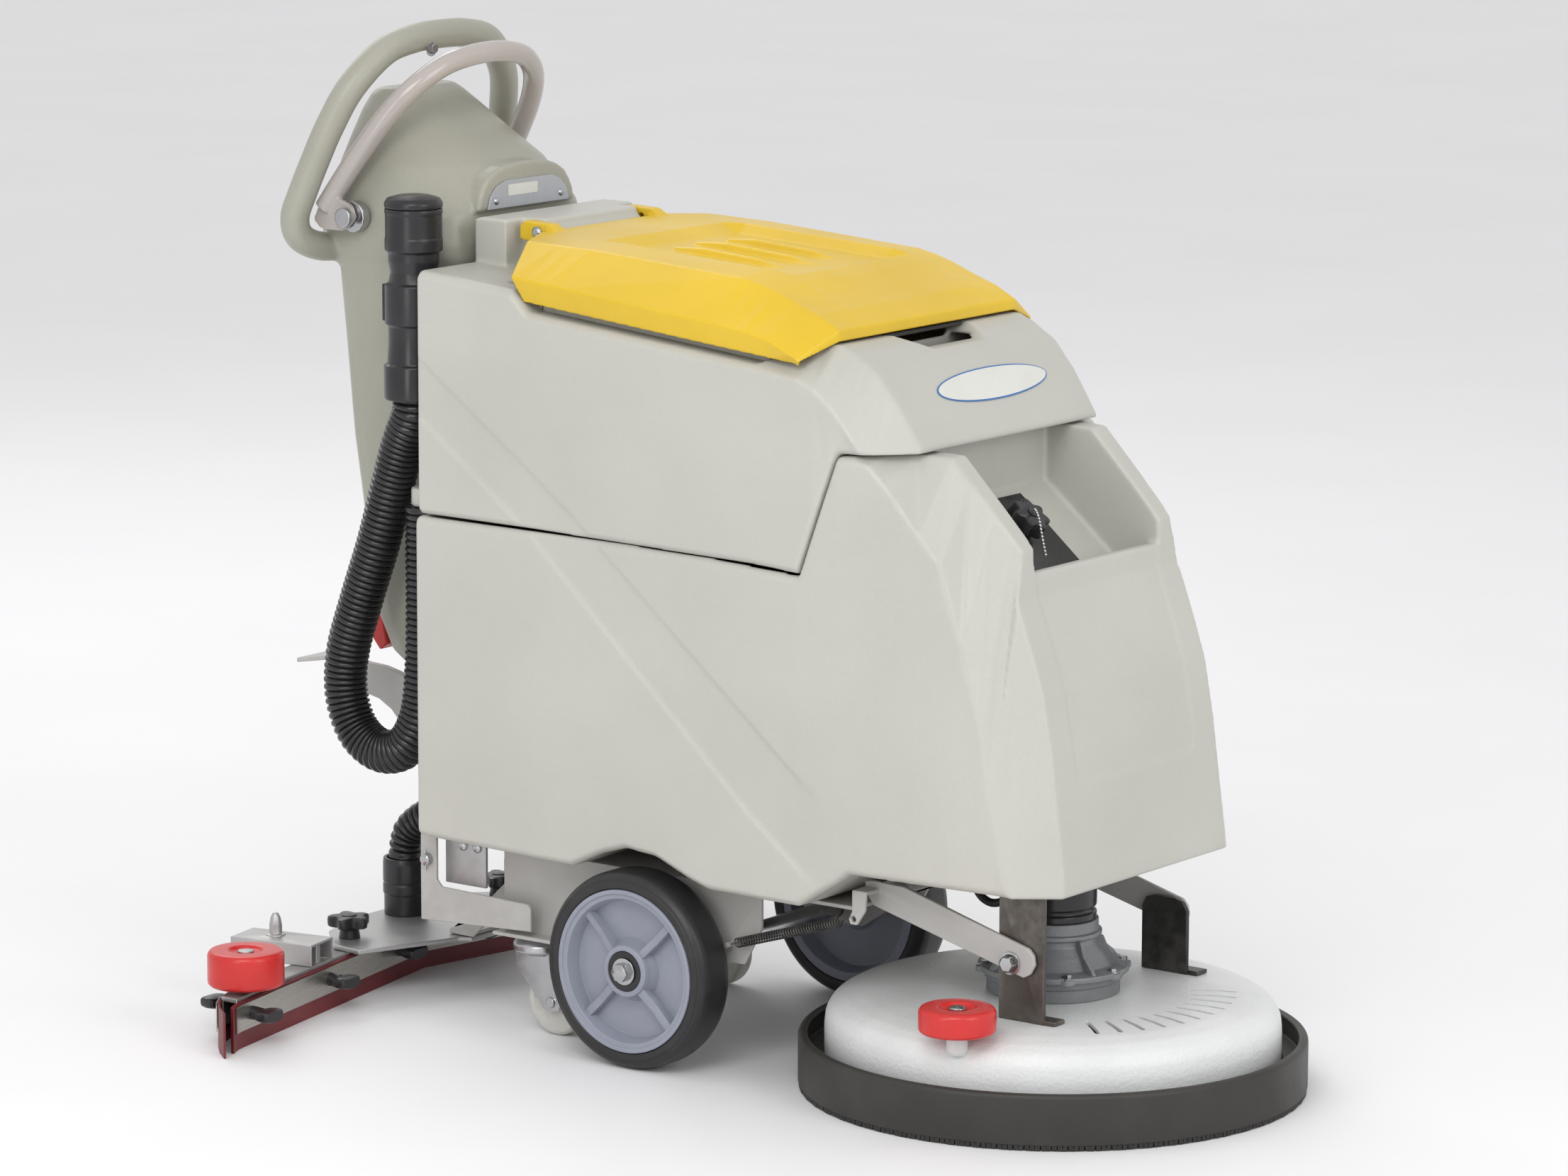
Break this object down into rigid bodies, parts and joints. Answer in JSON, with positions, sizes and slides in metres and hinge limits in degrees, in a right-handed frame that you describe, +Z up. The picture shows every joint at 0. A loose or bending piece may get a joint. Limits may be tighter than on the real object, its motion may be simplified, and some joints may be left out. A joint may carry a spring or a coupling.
{
  "type": "floor scrubber",
  "caption": "Walk-behind floor scrubber: stacked water tanks with a hinged lid, disc brush deck in front, V-shaped squeegee behind, handle loop with a safety bail.",
  "frame": {"origin": "middle of the footprint, on the floor", "axes": "+X to the front of the machine (brush deck), +Y to its left, +Z up"},
  "size_m": [1.173, 0.848, 1.0199],
  "materials": {
    "tank": "satin with a fine orange-peel grain",
    "console": "satin with a fine grain",
    "lid": "satin",
    "deck_white": "satin",
    "black_plastic": "satin",
    "black_rubber": "matt",
    "tyre": "matt, worn tread",
    "rim": "satin",
    "red_plastic": "soft gloss",
    "blade": "matt",
    "stainless": "brushed",
    "grey_paint": "powder coat",
    "zinc": "bright zinc plate",
    "dark_steel": "worn dark coat",
    "casting": "rough cast",
    "bail_paint": "gloss paint",
    "caster_white": "satin",
    "bristle": "nylon filament"
  },
  "bodies": {
    "machine": {"chassis_frame": "grey_paint", "rear_hanger_right": "grey_paint", "rear_hanger_left": "grey_paint", "axle": "zinc", "solution_tank": "tank", "battery_pack": "black_plastic", "pocket_plate": "black_plastic", "recovery_tank": "tank", "column": "console", "vacuum_motor": "black_plastic", "console": "console", "name_plate": "stainless", "bail_block_right": "zinc", "bail_block_left": "zinc", "control_panel": "black_plastic", "battery_connector": "red_plastic", "drain_cuff": "black_plastic", "drain_hose": "black_rubber", "suction_hose": "black_rubber", "motor_cable": "black_rubber", "tension_spring": "dark_steel"},
    "bail": {"bail_bar": "bail_paint"},
    "tank_lid": {"lid": "lid"},
    "filler": {"filler_cap": "black_plastic"},
    "drain_stopper": {"drain_cap": "black_plastic"},
    "key": {"key_switch": "zinc"},
    "start": {"start_button": "red_plastic"},
    "wheel_right": {"wheel_rim_right": "rim", "tyre_right": "tyre"},
    "wheel_left": {"wheel_rim_left": "rim", "tyre_left": "tyre"},
    "caster_right": {"caster_fork_right": "zinc"},
    "caster_left": {"caster_fork_left": "zinc"},
    "caster_roll_right": {"caster_wheel_right": "caster_white"},
    "caster_roll_left": {"caster_wheel_left": "caster_white"},
    "deck_carrier": {"deck_arms": "grey_paint"},
    "deck": {"deck_cover": "deck_white", "splash_ring": "black_rubber", "skirt_bristles": "bristle", "gearbox": "casting", "drive_motor": "black_plastic", "deck_bracket_right": "dark_steel", "deck_bracket_left": "dark_steel"},
    "brush": {"brush_block": "black_plastic", "brush_bristles": "bristle"},
    "bumper_roller": {"deck_roller": "red_plastic"},
    "squeegee_arm": {"squeegee_link": "grey_paint"},
    "squeegee": {"squeegee_plate": "stainless", "front_blade": "blade", "rear_blade": "blade", "front_strip": "stainless", "rear_strip": "stainless", "port_plate": "stainless", "suction_cuff": "black_plastic"},
    "knob_right": {"star_knob_right": "black_plastic"},
    "knob_left": {"star_knob_left": "black_plastic"},
    "guide_roller_right": {"squeegee_roller_right": "red_plastic"},
    "guide_roller_left": {"squeegee_roller_left": "red_plastic"},
    "pedal": {"lift_pedal": "grey_paint"}
  },
  "joints": [
    {"name": "bail_squeeze", "type": "hinge", "parent": "machine", "child": "bail", "pos_m": [-0.461, 0, 0.8248], "axis": [0, -1, 0], "range_deg": [0, 9], "stiffness_Nm_per_rad": 2, "springref_deg": -5.73},
    {"name": "lid_hinge", "type": "hinge", "parent": "machine", "child": "tank_lid", "pos_m": [-0.2485, 0, 0.8205], "axis": [0, -1, 0], "range_deg": [0, 70]},
    {"name": "filler_turn", "type": "hinge", "parent": "machine", "child": "filler", "pos_m": [0.28626, 0, 0.55691], "axis": [0.6402, 0, 0.7682], "continuous": true},
    {"name": "drain_cap_pull", "type": "slide", "parent": "machine", "child": "drain_stopper", "axis": [0, 0, 1], "range_m": [0, 0.05]},
    {"name": "key_turn", "type": "hinge", "parent": "machine", "child": "key", "pos_m": [-0.5245, 0.03, 0.87004], "axis": [-0.9903, 0, 0.1386], "range_deg": [0, 80]},
    {"name": "start_press", "type": "slide", "parent": "machine", "child": "start", "axis": [0.9903, 0, -0.1386], "range_m": [0, 0.002], "stiffness_N_per_m": 600, "springref_m": -0.001},
    {"name": "wheel_turn_right", "type": "hinge", "parent": "machine", "child": "wheel_right", "pos_m": [-0.0435, -0.1895, 0.1015], "axis": [0, 1, 0], "continuous": true},
    {"name": "wheel_turn_left", "type": "hinge", "parent": "machine", "child": "wheel_left", "pos_m": [-0.0435, 0.1895, 0.1015], "axis": [0, 1, 0], "continuous": true},
    {"name": "caster_swivel_right", "type": "hinge", "parent": "machine", "child": "caster_right", "pos_m": [-0.2115, -0.135, 0.09], "axis": [0, 0, 1], "continuous": true},
    {"name": "caster_swivel_left", "type": "hinge", "parent": "machine", "child": "caster_left", "pos_m": [-0.2115, 0.135, 0.09], "axis": [0, 0, 1], "continuous": true},
    {"name": "caster_turn_right", "type": "hinge", "parent": "caster_right", "child": "caster_roll_right", "pos_m": [-0.1865, -0.135, 0.036], "axis": [0, 1, 0], "continuous": true},
    {"name": "caster_turn_left", "type": "hinge", "parent": "caster_left", "child": "caster_roll_left", "pos_m": [-0.1865, 0.135, 0.036], "axis": [0, 1, 0], "continuous": true},
    {"name": "deck_lift", "type": "hinge", "parent": "machine", "child": "deck_carrier", "pos_m": [0.219, 0, 0.204], "axis": [0, -1, 0], "range_deg": [0, 12], "deforming": ["motor_cable", "tension_spring"]},
    {"name": "deck_level", "type": "hinge", "parent": "deck_carrier", "child": "deck", "pos_m": [0.3762, 0, 0.1577], "axis": [0, 1, 0], "range_deg": [0, 12]},
    {"name": "brush_spin", "type": "hinge", "parent": "deck", "child": "brush", "pos_m": [0.3325, 0, 0.05], "axis": [0, 0, 1], "continuous": true},
    {"name": "bumper_turn", "type": "hinge", "parent": "deck", "child": "bumper_roller", "pos_m": [0.37, -0.219, 0.1165], "axis": [0, 0, 1], "continuous": true},
    {"name": "squeegee_lift", "type": "hinge", "parent": "machine", "child": "squeegee_arm", "pos_m": [-0.2885, 0, 0.15], "axis": [0, 1, 0], "range_deg": [0, 12], "deforming": ["suction_hose"]},
    {"name": "squeegee_swing", "type": "hinge", "parent": "squeegee_arm", "child": "squeegee", "pos_m": [-0.3935, 0, 0.055], "axis": [0, 0, 1], "range_deg": [-8, 8]},
    {"name": "knob_turn_right", "type": "hinge", "parent": "squeegee", "child": "knob_right", "pos_m": [-0.4835, -0.125, 0.0572], "axis": [0, 0, 1], "continuous": true},
    {"name": "knob_turn_left", "type": "hinge", "parent": "squeegee", "child": "knob_left", "pos_m": [-0.4835, 0.125, 0.0572], "axis": [0, 0, 1], "continuous": true},
    {"name": "guide_turn_right", "type": "hinge", "parent": "squeegee", "child": "guide_roller_right", "pos_m": [-0.4308, -0.346, 0.075], "axis": [0, 0, 1], "continuous": true},
    {"name": "guide_turn_left", "type": "hinge", "parent": "squeegee", "child": "guide_roller_left", "pos_m": [-0.4308, 0.346, 0.075], "axis": [0, 0, 1], "continuous": true},
    {"name": "pedal_press", "type": "hinge", "parent": "machine", "child": "pedal", "pos_m": [-0.3685, -0.06, 0.207], "axis": [0, -1, 0], "range_deg": [0, 24]}
  ],
  "couplings": [
    {"joint": "deck_level", "follows": "deck_lift", "ratio": 1},
    {"joint": "pedal_press", "follows": "deck_lift", "ratio": 2}
  ]
}
